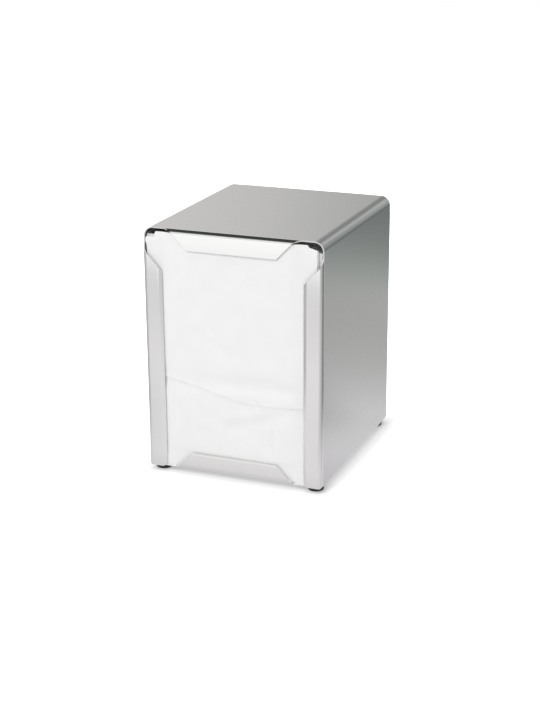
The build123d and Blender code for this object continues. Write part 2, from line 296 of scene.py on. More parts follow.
def satin_steel(name, light, dark, roughness):
    """Satin-brushed stainless sheet: a belt leaves fine straight scratches along the sheet, so the
    eye sees soft reflections and faint lighter and darker hairs and bands. Real scratches are
    about 0.05 mm apart, and the ones here are drawn 0.3 mm apart and 45 mm long to show."""
    material, tree = new_material(name)
    where = add_node(tree, "ShaderNodeUVMap", {"uv_map": "flat_sheet"})
    scratch_apart, scratch_length = 0.3 * MM, 45 * MM
    hairs_place = add_node(
        tree,
        "ShaderNodeMapping",
        {"Scale": (1 / scratch_apart, 1 / scratch_length, 1 / scratch_apart)},
        Vector=where,
    )
    hairs = add_node(
        tree,
        "ShaderNodeTexNoise",
        {"Scale": 1.0, "Detail": 3.0, "Roughness": 0.6},
        Vector=hairs_place,
    )
    band_width, band_length = 4 * MM, 110 * MM
    bands_place = add_node(
        tree,
        "ShaderNodeMapping",
        {"Scale": (1 / band_width, 1 / band_length, 1 / band_width)},
        Vector=where,
    )
    bands = add_node(tree, "ShaderNodeTexNoise", {"Scale": 1.0, "Detail": 2.0}, Vector=bands_place)
    blended = add_node(
        tree, "ShaderNodeMix", {"data_type": "FLOAT", 0: 0.5}, i2=hairs, i3=bands
    )
    colour = add_node(tree, "ShaderNodeValToRGB", stops=[(0.3, dark), (0.7, light)], Fac=blended)
    rough = add_node(
        tree,
        "ShaderNodeMapRange",
        {"From Min": 0.3, "From Max": 0.7, "To Min": roughness - 0.01, "To Max": roughness + 0.01},
        Value=blended,
    )
    bump = add_node(
        tree, "ShaderNodeBump", {"Strength": 0.02, "Distance": 0.01 * MM}, Height=hairs
    )
    shader = add_node(
        tree,
        "ShaderNodeBsdfPrincipled",
        {"Metallic": 1.0},
        **{"Base Color": colour, "Roughness": rough, "Normal": bump},
    )
    add_node(tree, "ShaderNodeOutputMaterial", Surface=shader)
    return material


def mill_steel():
    """Mill-finish stainless sheet: cold rolled between bright rolls and pickled, so it is a dull
    even grey with a faint cloudiness a few millimetres across and no grain."""
    material, tree = new_material("mill_finish_stainless_steel")
    where = add_node(tree, "ShaderNodeTexCoord")
    cloud_size, grit_size = 6 * MM, 0.4 * MM
    clouds = add_node(
        tree,
        "ShaderNodeTexNoise",
        {"Scale": 1 / cloud_size, "Detail": 4.0},
        Vector=(where, "Object"),
    )
    grit = add_node(
        tree,
        "ShaderNodeTexNoise",
        {"Scale": 1 / grit_size, "Detail": 2.0},
        Vector=(where, "Object"),
    )
    colour = add_node(
        tree, "ShaderNodeValToRGB", stops=[(0.3, "#A3A4A3"), (0.7, "#B4B4B2")], Fac=clouds
    )
    rough = add_node(
        tree,
        "ShaderNodeMapRange",
        {"From Min": 0.3, "From Max": 0.7, "To Min": 0.3, "To Max": 0.42},
        Value=clouds,
    )
    bump = add_node(tree, "ShaderNodeBump", {"Strength": 0.1, "Distance": 0.01 * MM}, Height=grit)
    shader = add_node(
        tree,
        "ShaderNodeBsdfPrincipled",
        {"Metallic": 1.0},
        **{"Base Color": colour, "Roughness": rough, "Normal": bump},
    )
    add_node(tree, "ShaderNodeOutputMaterial", Surface=shader)
    return material


def spring_wire_steel():
    """Cold-drawn stainless spring wire: the die leaves fine lines along the wire, and drawing soap
    burnt on in coiling leaves it slightly browner in patches."""
    material, tree = new_material("drawn_stainless_spring_wire")
    where = add_node(tree, "ShaderNodeUVMap", {"uv_map": "flat_sheet"})
    line_length, line_width = 30 * MM, 0.2 * MM
    line_place = add_node(
        tree, "ShaderNodeMapping", {"Scale": (1 / line_length, 1 / line_width, 1.0)}, Vector=where
    )
    lines = add_node(tree, "ShaderNodeTexNoise", {"Scale": 1.0, "Detail": 2.0}, Vector=line_place)
    patch_length, patch_width = 20 * MM, 4 * MM
    patch_place = add_node(
        tree, "ShaderNodeMapping", {"Scale": (1 / patch_length, 1 / patch_width, 1.0)}, Vector=where
    )
    patches = add_node(tree, "ShaderNodeTexNoise", {"Scale": 1.0}, Vector=patch_place)
    colour = add_node(
        tree, "ShaderNodeValToRGB", stops=[(0.35, "#9C9790"), (0.65, "#BBB9B5")], Fac=patches
    )
    rough = add_node(
        tree,
        "ShaderNodeMapRange",
        {"From Min": 0.3, "From Max": 0.7, "To Min": 0.2, "To Max": 0.34},
        Value=lines,
    )
    bump = add_node(tree, "ShaderNodeBump", {"Strength": 0.2, "Distance": 0.01 * MM}, Height=lines)
    shader = add_node(
        tree,
        "ShaderNodeBsdfPrincipled",
        {"Metallic": 1.0},
        **{"Base Color": colour, "Roughness": rough, "Normal": bump},
    )
    add_node(tree, "ShaderNodeOutputMaterial", Surface=shader)
    return material


def small_metal(name, light, dark, low, high, grain):
    """Plated or plain small fasteners: tumbled in bulk, so their surface has an even fine grain
    and small differences in brightness."""
    material, tree = new_material(name)
    where = add_node(tree, "ShaderNodeTexCoord")
    spots = add_node(
        tree, "ShaderNodeTexNoise", {"Scale": 1 / grain, "Detail": 3.0}, Vector=(where, "Object")
    )
    colour = add_node(tree, "ShaderNodeValToRGB", stops=[(0.3, dark), (0.7, light)], Fac=spots)
    rough = add_node(
        tree,
        "ShaderNodeMapRange",
        {"From Min": 0.3, "From Max": 0.7, "To Min": low, "To Max": high},
        Value=spots,
    )
    bump = add_node(tree, "ShaderNodeBump", {"Strength": 0.2, "Distance": 0.02 * MM}, Height=spots)
    shader = add_node(
        tree,
        "ShaderNodeBsdfPrincipled",
        {"Metallic": 1.0},
        **{"Base Color": colour, "Roughness": rough, "Normal": bump},
    )
    add_node(tree, "ShaderNodeOutputMaterial", Surface=shader)
    return material


def moulded_rubber():
    """Black nitrile rubber, compression moulded in a spark-eroded mould: nearly matt, with a fine
    pebbled grain of about 0.3 mm and a grey bloom in places."""
    material, tree = new_material("moulded_nitrile_rubber")
    where = add_node(tree, "ShaderNodeTexCoord")
    grain_size, bloom_size = 0.3 * MM, 3 * MM
    grain = add_node(
        tree,
        "ShaderNodeTexNoise",
        {"Scale": 1 / grain_size, "Detail": 2.0},
        Vector=(where, "Object"),
    )
    bloom = add_node(tree, "ShaderNodeTexNoise", {"Scale": 1 / bloom_size}, Vector=(where, "Object"))
    colour = add_node(
        tree, "ShaderNodeValToRGB", stops=[(0.35, "#161616"), (0.7, "#2A2A2B")], Fac=bloom
    )
    rough = add_node(
        tree,
        "ShaderNodeMapRange",
        {"From Min": 0.3, "From Max": 0.7, "To Min": 0.5, "To Max": 0.68},
        Value=grain,
    )
    bump = add_node(tree, "ShaderNodeBump", {"Strength": 0.35, "Distance": 0.04 * MM}, Height=grain)
    shader = add_node(
        tree,
        "ShaderNodeBsdfPrincipled",
        {"IOR": 1.52},
        **{"Base Color": colour, "Roughness": rough, "Normal": bump},
    )
    add_node(tree, "ShaderNodeOutputMaterial", Surface=shader)
    return material


def napkin_tissue():
    """Bleached tissue, creped off its drying cylinder: matt and white, with crepe ridges across
    the web, loose fibres and a soft cloudiness. Real ridges are about 0.5 mm apart, and the ones
    here are drawn 1.2 mm apart to show."""
    material, tree = new_material("creped_napkin_tissue")
    where = add_node(tree, "ShaderNodeUVMap", {"uv_map": "flat_sheet"})
    ridge_length, ridge_apart = 8 * MM, 1.2 * MM
    crepe_place = add_node(
        tree, "ShaderNodeMapping", {"Scale": (1 / ridge_length, 1 / ridge_apart, 1.0)}, Vector=where
    )
    crepe = add_node(
        tree,
        "ShaderNodeTexNoise",
        {"Scale": 1.0, "Detail": 2.0, "Distortion": 0.4},
        Vector=crepe_place,
    )
    fibre_size, cloud_size = 0.7 * MM, 12 * MM
    fibres = add_node(
        tree,
        "ShaderNodeTexNoise",
        {"Scale": 1 / fibre_size, "Detail": 5.0, "Roughness": 0.7},
        Vector=where,
    )
    clouds = add_node(
        tree, "ShaderNodeTexNoise", {"Scale": 1 / cloud_size, "Detail": 2.0}, Vector=where
    )
    relief = add_node(tree, "ShaderNodeMix", {"data_type": "FLOAT", 0: 0.4}, i2=crepe, i3=fibres)
    colour = add_node(
        tree, "ShaderNodeValToRGB", stops=[(0.3, "#F5F4F4"), (0.7, "#F7F6F6")], Fac=clouds
    )
    bump = add_node(tree, "ShaderNodeBump", {"Strength": 0.5, "Distance": 0.08 * MM}, Height=relief)
    shader = add_node(
        tree,
        "ShaderNodeBsdfPrincipled",
        {"Roughness": 0.92, "IOR": 1.45, "Specular IOR Level": 0.2, "Sheen Weight": 0.08},
        **{"Base Color": colour, "Normal": bump},
    )
    add_node(tree, "ShaderNodeOutputMaterial", Surface=shader)
    return material


satin = satin_steel("satin_brushed_stainless_steel", "#D9D9D9", "#D6D6D6", 0.27)
# The lips' steel is glossier, and its lighter colour is painted light: a lit copy of the sheet's
# steel.
polished = satin_steel("satin_stainless_steel_glossier_lips_painted_lighter", "#F3F3F2", "#F0F0EF", 0.15)
mill = mill_steel()
wire = spring_wire_steel()
zinc = small_metal("tumbled_zinc_plate", "#C4C8CC", "#A9ADB2", 0.26, 0.4, 0.6 * MM)
aluminium = small_metal("tumbled_aluminium", "#D3D4D5", "#BDBEC0", 0.3, 0.45, 0.5 * MM)
rubber = moulded_rubber()
tissue = napkin_tissue()


# Casing and base plate

TOP_LIP_HEIGHT = 11.2
TOP_LIP_EDGE = 52.2
SIDE_LIP_EDGE = 41.4
SIDE_LIP_TOP = TOP - 8.8
SIDE_LIP_FOOT = BOTTOM + 0.2
SIDE_LIP_INNER_CORNER = 3.0
SIDE_LIP_OUTER_CORNER = 2.0
BASE_LIP_HEIGHT = 10.0
BASE_LIP_EDGE = 51.0
BASE_LIP_TOP = BASE_UNDERSIDE + BASE_LIP_HEIGHT
ROLL_RADIUS = 2.0
SIDE_ROLL_WIDTH = 2.0
SIDE_ROLL_DEPTH = 1.1
BASE_ROLL_WIDTH = 0.9
BASE_ROLL_DEPTH = 0.45
FLANGE_EDGE = 32.5
FLANGE_BEND = 1.6
FLANGE_RELIEF = 1.5
BASE_HALF_WIDTH = HALF_WIDTH - FLANGE_BEND - 0.2


def level_lip_half_width(rise, edge_length, height):
    """Half width of a top or base lip at a distance from its raw edge line. The cut ends slope
    at the cut angle, and over the bend they follow an arc that ends level with the raw edge."""
    half_bend = edge_length / 2 + (height - LIP_BEND) / math.tan(LIP_CUT)
    sloped = half_bend + (LIP_BEND - rise) / math.tan(LIP_CUT)
    run_out = LIP_BEND / (1 - math.cos(LIP_CUT))
    low = np.clip(rise, 0, LIP_BEND)
    curved = half_bend + run_out * math.sin(LIP_CUT)
    curved = curved - np.sqrt(np.maximum(run_out**2 - (run_out - low) ** 2, 0))
    return np.where(rise >= LIP_BEND, sloped, curved)


def level_lip(section, half_widths, gauge):
    """A lip bent along a level line: the section is carried across by x = v * half width."""
    places, normals, distance = section
    v = np.concatenate([[-1], np.linspace(-0.99, 0.99, 25), [1]])
    x = half_widths[:, None] * v
    inner = places + normals * gauge

    def grid(line):
        y = np.repeat(line[:, :1], len(v), axis=1)
        z = np.repeat(line[:, 1:], len(v), axis=1)
        return np.stack([x, y, z], -1)

    flat = np.stack([x, np.repeat(distance[:, None], len(v), axis=1)], -1)
    return closed_sheet(grid(places), grid(inner), flat)


def top_lip():
    """The front lip of the top, bent down from the raw edge line."""
    section = bent_line(
        [(-RAW_EDGE, TOP), (-HALF_DEPTH, TOP), (-HALF_DEPTH, TOP - TOP_LIP_HEIGHT)], [LIP_BEND], 14
    )
    half_widths = level_lip_half_width(TOP - section[0][:, 1], TOP_LIP_EDGE, TOP_LIP_HEIGHT)
    return level_lip(section, half_widths, CASING_GAUGE)


def side_lip():
    """The right lip of the front mouth. Its section in plan is carried up from a foot line to a
    head line, both of them curves of x: the corners and the cut with its run-out."""
    head_radius = LIP_BEND / (1 - math.sin(LIP_CUT))
    bend_x = HALF_WIDTH - LIP_BEND
    bend_z = SIDE_LIP_TOP - head_radius * math.cos(LIP_CUT)
    places, normals, distance = bent_line(
        [
            (SIDE_LIP_EDGE, -HALF_DEPTH + SIDE_ROLL_DEPTH),
            (SIDE_LIP_EDGE + SIDE_ROLL_WIDTH, -HALF_DEPTH),
            (HALF_WIDTH, -HALF_DEPTH),
            (HALF_WIDTH, -RAW_EDGE),
        ],
        [ROLL_RADIUS, LIP_BEND],
        14,
    )
    x = places[:, 0]
    centre_x = bend_x - head_radius * math.sin(LIP_CUT)
    sloped = bend_z - (bend_x - x) * math.tan(LIP_CUT)
    curved = SIDE_LIP_TOP - np.sqrt(np.maximum(head_radius**2 - (x - centre_x) ** 2, 0))
    head = np.where(x <= bend_x, sloped, curved)
    inner, outer = SIDE_LIP_INNER_CORNER, SIDE_LIP_OUTER_CORNER
    into_inner = np.clip(SIDE_LIP_EDGE + inner - x, 0, inner)
    into_outer = np.clip(x - (HALF_WIDTH - outer), 0, outer)
    foot = SIDE_LIP_FOOT + np.zeros_like(x)
    foot += inner - np.sqrt(inner**2 - into_inner**2)
    foot += outer - np.sqrt(outer**2 - into_outer**2)
    v = np.concatenate([[0], np.linspace(0.004, 0.996, 60), [1]])
    z = foot[:, None] + (head - foot)[:, None] * v

    def grid(line):
        gx = np.repeat(line[:, :1], len(v), axis=1)
        gy = np.repeat(line[:, 1:], len(v), axis=1)
        return np.stack([gx, gy, z], -1)

    flat = np.stack([z, np.repeat(distance[:, None], len(v), axis=1)], -1)
    return closed_sheet(grid(places), grid(places + normals * CASING_GAUGE), flat)


def sleeve():
    """Side walls, top and flanges: one bent section in front view, carried from mouth to mouth.
    The flanges stop short of the lips."""
    corners = [
        (FLANGE_EDGE, BOTTOM),
        (HALF_WIDTH, BOTTOM),
        (HALF_WIDTH, TOP),
        (-HALF_WIDTH, TOP),
        (-HALF_WIDTH, BOTTOM),
        (-FLANGE_EDGE, BOTTOM),
    ]
    places, normals, distance = bent_line(
        corners, [FLANGE_BEND, CORNER_RADIUS, CORNER_RADIUS, FLANGE_BEND], 20, 30
    )
    short = FLANGE_RELIEF * smooth_step((BOTTOM + FLANGE_BEND + 0.2 - places[:, 1]) / 0.2)
    reach = RAW_EDGE - short
    v = np.concatenate([[-1], np.linspace(-0.995, 0.995, 24), [1]])
    y = reach[:, None] * v

    def grid(line):
        gx = np.repeat(line[:, :1], len(v), axis=1)
        gz = np.repeat(line[:, 1:], len(v), axis=1)
        return np.stack([gx, y, gz], -1)

    flat = np.stack([np.repeat(distance[:, None], len(v), axis=1), y], -1)
    return closed_sheet(grid(places), grid(places + normals * CASING_GAUGE), flat)


def base_floor():
    """The base plate's level part."""
    x = np.linspace(-BASE_HALF_WIDTH, BASE_HALF_WIDTH, 12)
    y = np.linspace(-RAW_EDGE, RAW_EDGE, 12)
    gx, gy = np.meshgrid(x, y, indexing="ij")
    low = np.stack([gx, gy, np.full_like(gx, BASE_UNDERSIDE)], -1)
    high = np.stack([gx, gy, np.full_like(gx, FLOOR_LEVEL)], -1)
    return closed_sheet(low, high, np.stack([gx, gy], -1))


def base_lip():
    """The front lip of the base plate, bent up, with its free edge rolled back."""
    section = bent_line(
        [
            (-HALF_DEPTH + BASE_ROLL_DEPTH, BASE_LIP_TOP),
            (-HALF_DEPTH, BASE_LIP_TOP - BASE_ROLL_WIDTH),
            (-HALF_DEPTH, BASE_UNDERSIDE),
            (-RAW_EDGE, BASE_UNDERSIDE),
        ],
        [ROLL_RADIUS, LIP_BEND],
        10,
    )
    rise = section[0][:, 1] - BASE_UNDERSIDE
    half_widths = level_lip_half_width(rise, BASE_LIP_EDGE, BASE_LIP_HEIGHT)
    return level_lip(section, half_widths, BASE_GAUGE)


def at_both_mouths(shapes):
    """Shapes at the front mouth, and again at the rear one."""
    return [placed(shape, turn) for shape in shapes for turn in (FRONT_TURN, REAR_TURN)]


def build_casing():
    """The folded sleeve with its six lips, and the base plate with its two. The lips are glossier
    than the sheets that carry them, and their steel is painted a lighter colour as painted light, so
    they are pieces of their own."""
    walls = make_piece("casing_sleeve", [sleeve()], satin)
    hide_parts("casing")
    lips = make_piece(
        "casing_lips", at_both_mouths([top_lip(), side_lip(), across_middle(side_lip())]), polished
    )
    floor = make_piece("base_floor", [base_floor()], satin)
    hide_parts("base_plate")
    base_lips = make_piece("base_lips", at_both_mouths([base_lip()]), polished)
    for piece in (walls, lips, floor, base_lips):
        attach(piece, "housing")


# Feet

FOOT_X = HALF_WIDTH - 6.0
FOOT_Y = HALF_DEPTH - 7.4
FOOT_RADIUS = 4.8
TREAD_RADIUS = 4.5
TREAD_EDGE = 0.75
RECESS_RADIUS = 3.3
RECESS_DEPTH = 1.9
RIVET_HOLE = 1.55


def foot_profile():
    """Radii and heights of a foot: recess, tread with a rounded edge, and tapered side."""
    profile = [(RIVET_HOLE, RECESS_DEPTH), (RECESS_RADIUS, RECESS_DEPTH)]
    profile += [(RECESS_RADIUS, 0.25), (RECESS_RADIUS + 0.15, 0.0)]
    middle = TREAD_RADIUS - TREAD_EDGE
    profile += [
        (middle + TREAD_EDGE * math.sin(a), TREAD_EDGE - TREAD_EDGE * math.cos(a))
        for a in np.linspace(0, math.pi / 2, 7)
    ]
    profile += [(FOOT_RADIUS, FEET - 0.2), (FOOT_RADIUS - 0.15, FEET)]
    profile += [(RIVET_HOLE, FEET), (RIVET_HOLE, RECESS_DEPTH)]
    return profile[::-1]


def build_feet():
    """The four round feet under the corners."""
    for name, x, y in (
        ("foot_front_left", -FOOT_X, -FOOT_Y),
        ("foot_front_right", FOOT_X, -FOOT_Y),
        ("foot_rear_left", -FOOT_X, FOOT_Y),
        ("foot_rear_right", FOOT_X, FOOT_Y),
    ):
        piece = make_piece(name + "_rubber", [turned(foot_profile(), (x, y))], rubber, 50)
        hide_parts(name)
        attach(piece, "housing")


# Springs

COIL_RADIUS = 15.0
WIRE_RADIUS = 0.6
COIL_TURNS = 7
CLOSE_PITCH = 1.75
OPEN_PITCH = 2.95
SPRING_BACK = 1.0
SPRING_FRONT = 20.45


def spring_shape():
    """The coil spring behind the front pile, between its cups' brims. It comes forward by the
    pitch in each turn, and the pitch is close over the first and last turn and open between."""
    per_turn = 60
    t = np.linspace(0, COIL_TURNS, COIL_TURNS * per_turn + 1)
    half_turns = np.minimum(t, COIL_TURNS - t) * 2
    pitch = CLOSE_PITCH + (OPEN_PITCH - CLOSE_PITCH) * np.clip((half_turns - 1) / 2, 0, 1)
    rise = np.concatenate([[0], np.cumsum((pitch[1:] + pitch[:-1]) / 2 / per_turn)])
    rise *= (SPRING_FRONT - SPRING_BACK - 2 * WIRE_RADIUS) / rise[-1]
    angle = 2 * math.pi * t
    x = COIL_RADIUS * np.cos(angle)
    z = MIDDLE + COIL_RADIUS * np.sin(angle)
    y = -(SPRING_BACK + WIRE_RADIUS + rise)
    path = np.stack([x, y, z], -1)
    outward = np.stack([np.cos(angle), np.zeros_like(angle), np.sin(angle)], -1)
    along = unit(np.gradient(path, axis=0))
    return tube(path, (outward, np.cross(along, outward)), WIRE_RADIUS)


def build_springs():
    """Both springs, between the divider and their follower."""
    for name, turn, body, sign in (
        ("front_spring", FRONT_TURN, "front_pusher", -1),
        ("rear_spring", REAR_TURN, "rear_pusher", 1),
    ):
        piece = make_piece(name + "_coil", [placed(spring_shape(), turn)], wire, 60)
        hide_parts(name)
        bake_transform(piece)


# Napkins

NAPKIN_LEFT = -50.9
NAPKIN_RIGHT = 49.3
NAPKIN_BOTTOM = FLOOR_LEVEL + 0.3
NAPKIN_TOP = 140.6
HANG = 1.55
PLY_STEP = 0.6
PLY_HALF = 0.12
FRONT_PLY = 57.93
SWELL = 0.85
PILE_COUNT = 34
PILE_BACK = 21.95
PILE_FRONT = 56.4
PILE_HALF_WIDTH = 51.3

# The front ply's creases: two ends (x, z), width, depth, and step between the two sides
CREASES = [
    ((-14, 67.5), (44, 66.0), 6.0, 0.4, 0.0),
    ((-16, 58.2), (44, 57.2), 4.0, -0.85, 0.0),
    ((-16, 51.0), (44, 50.0), 4.0, 0.7, 0.0),
    ((9, 50.8), (16.4, 46.5), 0.9, -0.4, 0.0),
    ((-8, 33.0), (30, 45.0), 4.4, -0.1, 1.15),
    ((26, 48.0), (40, 36.0), 1.5, 0.1, -0.6),
    ((22.6, 42), (23.6, 14), 1.8, 0.0, -0.35),
    ((37.4, 60), (37.2, 50), 1.0, 0.2, 0.0),
    ((-42, 17.6), (-22, 17.4), 1.0, 0.0, 0.3),
    ((-25, 88), (4, 72.5), 3.4, -0.3, 0.4),
    ((-38, 120), (-8, 104), 4.4, -0.2, -0.4),
    ((6, 100), (40, 80), 4.6, -0.2, 0.4),
    ((-36, 44), (-6, 24), 4.0, 0.3, 0.4),
    ((-2, 33), (24, 21), 4.0, -0.3, -0.35),
]


def known_line(x, places):
    """A smooth line through known places (x, value): straight runs, averaged over 5 mm."""
    places = np.array(places, float)
    spread = np.linspace(-2.5, 2.5, 9)
    return np.mean([np.interp(x + s, places[:, 0], places[:, 1]) for s in spread], axis=0)


def flap_edge(x):
    """Height of the front flap's free lower edge."""
    left = [(-52, 59.4), (-39, 56.9), (-24, 54.6), (-11.6, 51.4), (0.3, 48.7)]
    right = [(7.7, 47.3), (18, 47.3), (29.8, 47.9), (39.3, 48.3), (52, 48.8)]
    return known_line(x, left + right)


def top_height(x, top, drop):
    """Height of a napkin's top edge: lower by drop at its left end, and at its right end lower by
    a small step and then by a slope that steepens."""
    left = drop * smooth_step((-45.4 - x) / 0.9)
    right = 1.3 * smooth_step((x - 43.4) / 0.8) + 1.6 * np.clip((x - 43.8) / 5.6, 0, 1) ** 1.4
    return top - left - right


def hanging_bottom(x):
    """Height of the leading napkin's bottom fold: on the floor behind the base lip, and hung over
    the base plate's edge at both sides of it."""
    return NAPKIN_BOTTOM - HANG * smooth_step((np.abs(x) - 34.4) / 1.2)


def closing_steps(count):
    """Places from 0 to 1 that close up towards both ends: halfway between even steps and the steps
    (1 - cos) / 2 of an even half turn."""
    even = np.linspace(0, 1, count)
    return (even + (1 - np.cos(math.pi * even)) / 2) / 2


def crease(x, z, start, end, width, depth, step):
    """A soft crease between two places: depth + step * d, times the bell exp(-d^2) of the
    distance d from its line in widths, fading out at both ends."""
    start, end = np.array(start, float), np.array(end, float)
    length = np.linalg.norm(end - start)
    along = (end - start) / length
    dx, dz = x - start[0], z - start[1]
    t = (dx * along[0] + dz * along[1]) / length
    off = (dz * along[0] - dx * along[1]) / width
    window = smooth_step((t + 0.1) / 0.3) * smooth_step((1.1 - t) / 0.3)
    return (depth + step * off) * np.exp(-(off**2)) * window


def mouth_swell(x, z):
    """How far the napkin swells out in the mouth, from 0 at the side lips' edges to 1 inside, and
    held back to 0.55 behind the base lip."""
    across = smooth_step((41.8 - np.abs(x)) / 9.0)
    return across * (0.55 + 0.45 * smooth_step((z - 12.9) / 3.0))


def napkin_front(x, z):
    """The middle of the front ply, as distance in front of the body's middle: the swell, broad
    waves and the creases of handling. Beside the base lip it hangs further forward."""
    swell = mouth_swell(x, z)
    waves = 0.10 * np.sin(x / 15.0 + z / 31.0) + 0.07 * np.sin(x / 9.0 - z / 13.0 + 1.3)
    waves += 0.03 * np.sin(z / 6.1 + 0.8 * np.sin(x / 11.0))
    creases = sum(crease(x, z, *one) for one in CREASES)
    hang = 0.3 * smooth_step((np.abs(x) - 34.6) / 2.4) * smooth_step((14.0 - z) / 6)
    return FRONT_PLY + SWELL * swell + swell * (waves + creases) + hang


def leading_napkin():
    """The folded napkin against the front lips, one sheet from its hidden top edge at the back to
    the free edge of its front flap: down at the back, round the bottom fold, up as the face, round
    the top fold and down again. Each ply lies one step in front of the last, and each fold is half
    a circle between two plies. Near its free edge the flap lies closer to the face, and the edge
    itself stands off a little. Below the flap the other two plies come forward by one step."""
    u = closing_steps(128)
    x = NAPKIN_LEFT + (NAPKIN_RIGHT - NAPKIN_LEFT) * u
    low, high, free = hanging_bottom(x), top_height(x, NAPKIN_TOP, 3.2), flap_edge(x)
    fold = PLY_STEP / 2
    run, arc = closing_steps(98)[:, None], np.linspace(0, math.pi, 9)[1:-1, None]
    same = np.ones_like(x)
    level = np.ones_like(run) * same
    ply = np.vstack(
        [0 * level, (1 - np.cos(arc)) / 2 * same, level, (3 - np.cos(arc)) / 2 * same, 2 * level]
    )
    z = np.vstack(
        [
            high - 1.0 + (low + fold - high + 1.0) * run,
            low + fold - fold * np.sin(arc),
            low + fold + (high - low - 2 * fold) * run,
            high - fold + fold * np.sin(arc),
            high - fold + (free - high + fold) * run,
        ]
    )
    stand_off = 0.26 - 0.05 * smooth_step((x + 10) / 14)
    closer = 0.37 * np.exp(-(((z - free) / 6.0) ** 2))
    closer = closer - stand_off * np.exp(-(((z - free) / 1.6) ** 2))
    closer = closer * (ply > 1.99) - PLY_STEP * smooth_step((free - z) / 9.0)
    middle = (NAPKIN_LEFT + NAPKIN_RIGHT) / 2
    x = middle + (x - middle) * np.interp(ply, [0, 1, 2], [0.994, 1.0, 0.991])
    x = x - 0.7 * np.exp(-(((z - 135.3) / 1.8) ** 2)) * (1 - u) ** 12
    y = -(napkin_front(x, z) - (2 - ply) * PLY_STEP - closer)
    sheet = np.stack([x, y, z], -1)
    normal = unit(np.cross(np.gradient(sheet, axis=0), np.gradient(sheet, axis=1)))
    runs = np.linalg.norm(np.diff(sheet, axis=0), axis=-1).mean(axis=1)
    length = np.concatenate([[0], np.cumsum(runs)])[:, None] * same
    flat = np.stack([x, length], -1)
    return closed_sheet(sheet + PLY_HALF * normal, sheet - PLY_HALF * normal, flat)


def rim_round(x, z, left, right, low, high, width):
    """0 at a pad's rim, rising to 1 over width as 1 - (1 - t)^3, so that its folds are round."""
    distance = np.minimum(np.minimum(x - left, right - x), np.minimum(z - low, high - z))
    return 1 - (1 - np.clip(distance / width, 0, 1)) ** 3


def napkin_pile():
    """The pile behind the leading napkin: folded napkins, each a flat pad with a rounded rim, and
    each sitting a little differently and lower than the leading one."""
    chance = np.random.default_rng(11)
    pitch = (PILE_FRONT - PILE_BACK) / PILE_COUNT
    u, v = closing_steps(32), closing_steps(34)[:, None]
    shapes = []
    for k in range(PILE_COUNT):
        left = -PILE_HALF_WIDTH + chance.uniform(0.0, 0.7)
        right = PILE_HALF_WIDTH - chance.uniform(0.0, 0.7)
        top = NAPKIN_TOP - chance.uniform(2.6, 6.0) * min(1, 0.3 + k / 3)
        x = left + (right - left) * u
        high = top_height(x, top, chance.uniform(0.6, 1.6))
        z = NAPKIN_BOTTOM + (high - NAPKIN_BOTTOM) * v
        x = np.repeat(x[None], len(v), axis=0)
        rounded = rim_round(x, z, left, right, NAPKIN_BOTTOM, high, 0.9)
        middle = PILE_FRONT - (k + 0.5) * pitch + 0.03 * np.sin(x / (7 + k % 5) + k) * rounded
        half = 0.06 + (pitch / 2 - 0.08) * rounded
        front = np.stack([x, -(middle + half), z], -1)
        back = np.stack([x, -(middle - half), z], -1)
        shapes.append(closed_sheet(front, back, np.stack([x, z + 3.0 * k], -1)))
    return shapes


def build_napkins():
    """Leading napkins and piles at both mouths."""
    for name, turn, sign in (("front", FRONT_TURN, -1), ("rear", REAR_TURN, 1)):
        folded = [placed(leading_napkin(), turn)]
        lead = make_piece(name + "_leading_napkin_folded", folded, tissue, 70)
        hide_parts(name + "_leading_napkin")
        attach(lead, "housing")
        pads = [placed(pad, turn) for pad in napkin_pile()]
        pile = make_piece(name + "_napkin_pile", pads, tissue, 70)
        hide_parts(name + "_napkin_stack")
        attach(pile, "housing")
        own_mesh(pile)


def dress_cad_nodes():
    """Finishes for the inner pieces that keep their CAD shape."""
    finishes = {
        "divider": mill,
        "front_follower": mill,
        "rear_follower": mill,
        "front_spring_cup": mill,
        "rear_spring_cup": mill,
        "divider_spring_cups": mill,
        "foot_washers": zinc,
        "foot_rivets": aluminium,
        "divider_rivets": aluminium,
    }
    for name, material in finishes.items():
        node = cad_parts[name]
        node.data.materials.clear()
        node.data.materials.append(material)


# Studio


def bearing_share(tree, sideways, ahead):
    """The bearing atan2(sideways, ahead), as 0 to 1 for half a turn left to half a turn right."""
    bearing = add_node(
        tree, "ShaderNodeMath", {"operation": "ARCTAN2"}, i0=sideways, i1=ahead
    )
    return add_node(
        tree,
        "ShaderNodeMapRange",
        {"From Min": -math.pi, "From Max": math.pi, "To Min": 0.0, "To Max": 1.0},
        Value=bearing,
    )


def paper_glow(tree, axes):
    """How far the paper glows to the camera. It rises with the distance from the object up to
    pure white, as in a cut-out picture: the greater of 2 * (|x| - half width) and
    |y| - half depth."""
    across = add_node(tree, "ShaderNodeMath", {"operation": "ABSOLUTE"}, i0=(axes, "X"))
    beside = add_node(
        tree,
        "ShaderNodeMath",
        {"operation": "MULTIPLY_ADD", 1: 2.0, 2: -2 * HALF_WIDTH * MM},
        i0=across,
    )
    deep = add_node(tree, "ShaderNodeMath", {"operation": "ABSOLUTE"}, i0=(axes, "Y"))
    before = add_node(
        tree, "ShaderNodeMath", {"operation": "SUBTRACT", 1: HALF_DEPTH * MM}, i0=deep
    )
    clear = add_node(tree, "ShaderNodeMath", {"operation": "MAXIMUM"}, i0=beside, i1=before)
    reach = add_node(
        tree,
        "ShaderNodeMapRange",
        {"From Min": 0.0, "From Max": 52 * MM, "To Min": 0.26, "To Max": 1.2},
        Value=clear,
    )
    return add_node(tree, "ShaderNodeEmission", {"Color": linear("#FFFFFF")}, Strength=reach)


